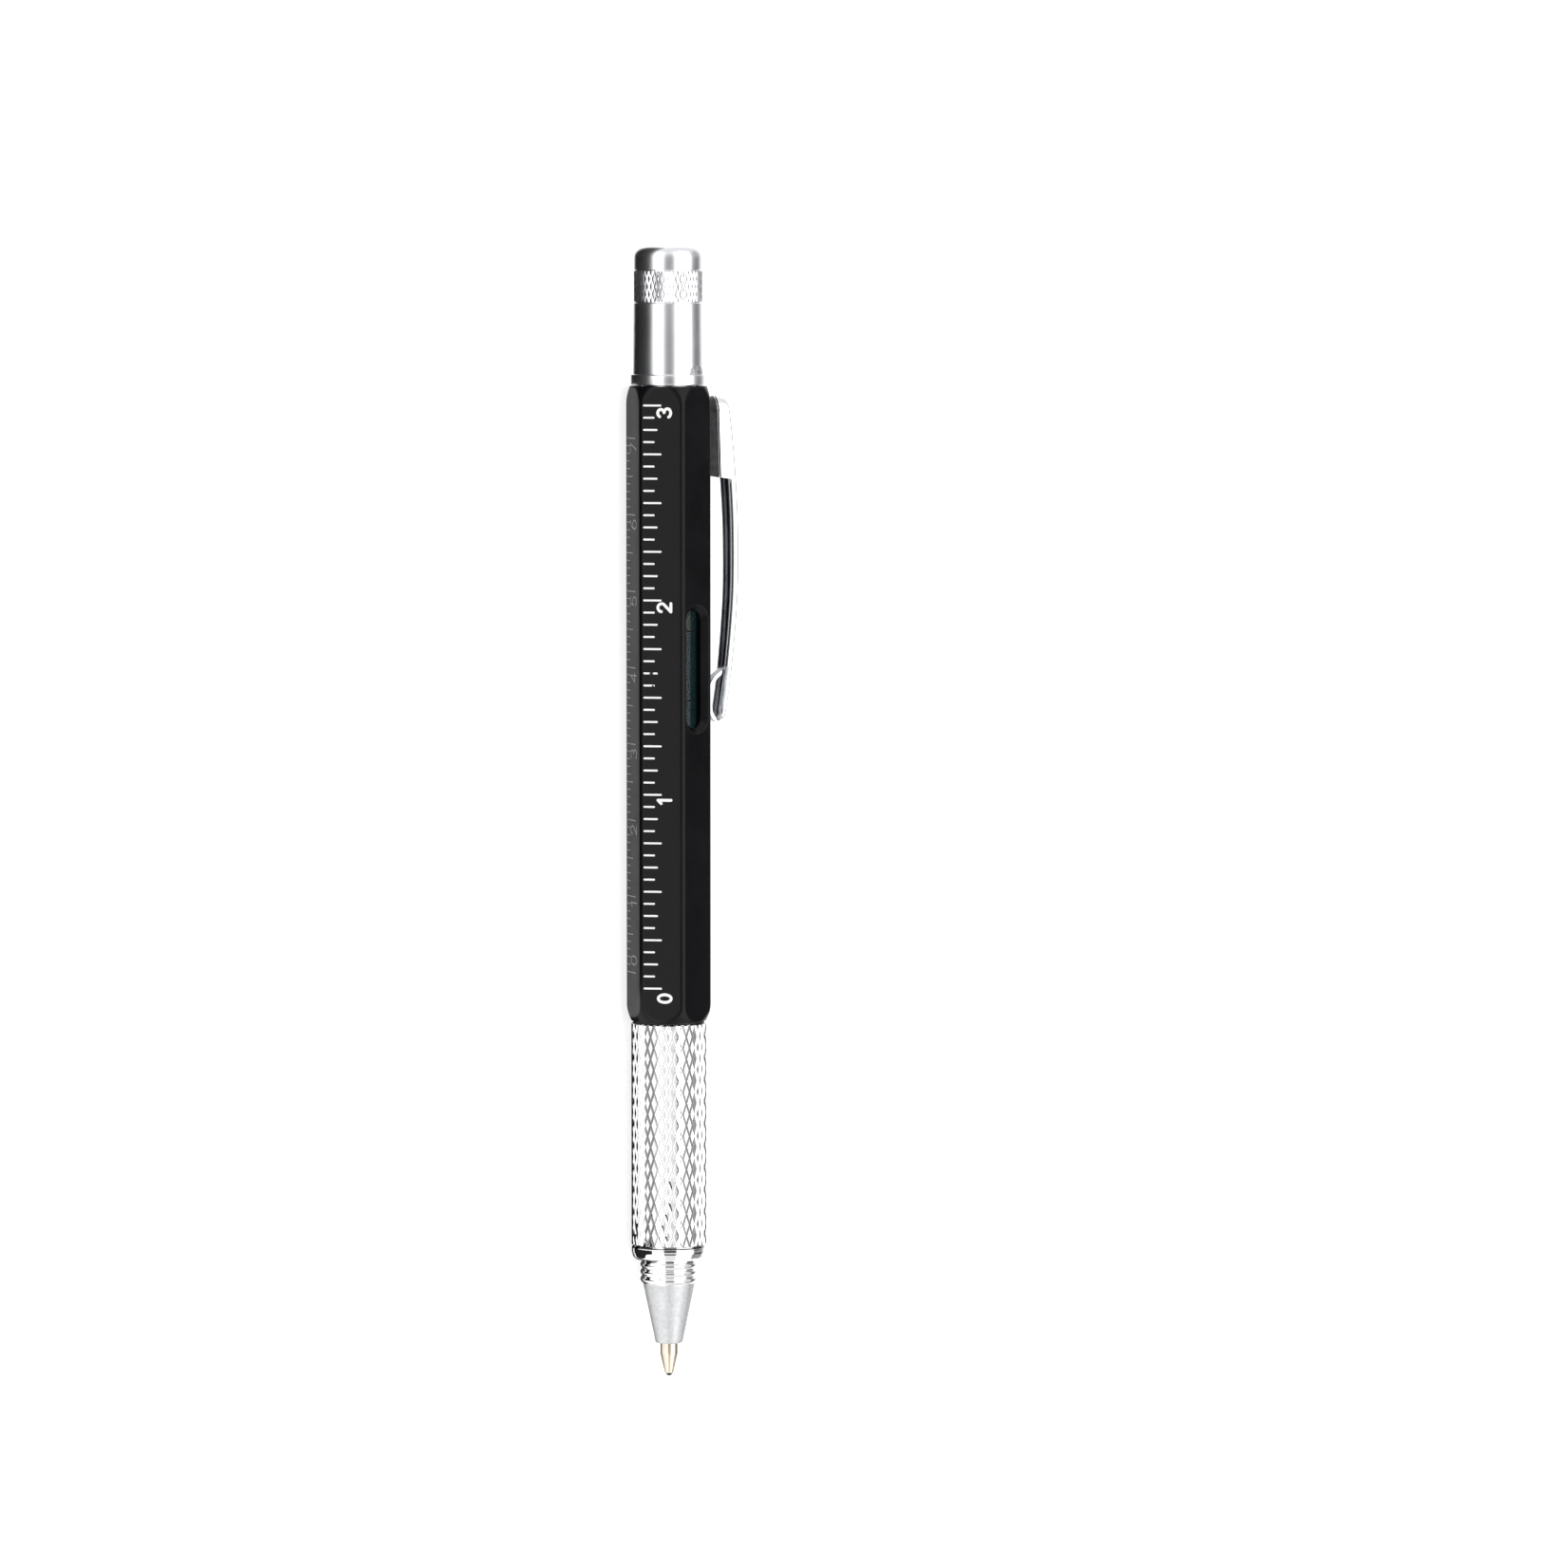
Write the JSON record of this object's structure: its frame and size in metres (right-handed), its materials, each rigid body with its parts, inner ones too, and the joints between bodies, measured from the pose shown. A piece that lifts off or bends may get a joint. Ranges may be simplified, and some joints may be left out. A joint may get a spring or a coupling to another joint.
{
  "type": "multi tool pen",
  "caption": "Hexagonal twist ballpoint pen with printed rulers, spirit level window, pocket clip, knurled grip, and a reversible screwdriver bit under a screw cap.",
  "frame": {"origin": "centre line of the barrel's rest flat, straight below the pen's axis, at the station where the driving sizes start", "axes": "+X along the pen toward the cap, +Z out of the flat with the level's window, +Y toward the flat with the inch scale"},
  "size_m": [0.1489, 0.0143, 0.011],
  "materials": {
    "barrel_black": "matte",
    "cap_chrome": "satin",
    "clip_chrome": "polished",
    "grip_chrome": "polished",
    "nose_chrome": "satin",
    "socket_chrome": "satin",
    "bit_steel": "satin",
    "washer_black": "matte",
    "core_brass": "satin",
    "vial_clear": "gloss",
    "vial_spirit": "gloss",
    "vial_air": "gloss",
    "level_black": "matte",
    "mechanism_white": "satin",
    "pin_steel": "satin",
    "refill_brass": "satin",
    "tip_nickel": "polished",
    "ball_steel": "polished",
    "ink_blue": "gloss"
  },
  "bodies": {
    "barrel": {"barrel": "barrel_black", "vial_cradle": "level_black", "vial_tube": "vial_clear", "vial_plug": "level_black", "vial_liquid": "vial_spirit", "bit_socket": "socket_chrome", "screwdriver_bit": "bit_steel", "cam_sleeve": "mechanism_white", "grip_washer": "washer_black"},
    "bubble": {"vial_bubble": "vial_air"},
    "clip": {"clip": "clip_chrome"},
    "cap": {"cap": "cap_chrome"},
    "grip": {"grip_sleeve": "grip_chrome", "grip_core": "core_brass", "nose_cone": "nose_chrome", "rotor": "mechanism_white"},
    "refill": {"refill_tube": "refill_brass", "refill_tip": "tip_nickel", "writing_ball": "ball_steel", "ink_column": "ink_blue", "plunger": "mechanism_white", "drive_pin": "pin_steel"}
  },
  "joints": [
    {"name": "grip_twist", "type": "hinge", "parent": "barrel", "child": "grip", "pos_m": [0, 0, 0.00495], "axis": [1, 0, 0], "range_deg": [0, 180]},
    {"name": "refill_slide", "type": "slide", "parent": "grip", "child": "refill", "axis": [1, 0, 0], "range_m": [0, 0.0054]},
    {"name": "cap_slide", "type": "slide", "parent": "barrel", "child": "cap", "axis": [1, 0, 0], "range_m": [0, 0.0165]},
    {"name": "clip_flex", "type": "hinge", "parent": "barrel", "child": "clip", "pos_m": [0.05402, -0.00429, 0.00743], "axis": [0, 0.5, 0.866], "range_deg": [0, 3], "stiffness_Nm_per_rad": 0.05},
    {"name": "bubble_slide", "type": "slide", "parent": "barrel", "child": "bubble", "axis": [-1, 0, 0], "range_m": [0, 0.013]}
  ],
  "couplings": [
    {"joint": "refill_slide", "follows": "grip_twist", "m_per_rad": 0.0017189}
  ]
}
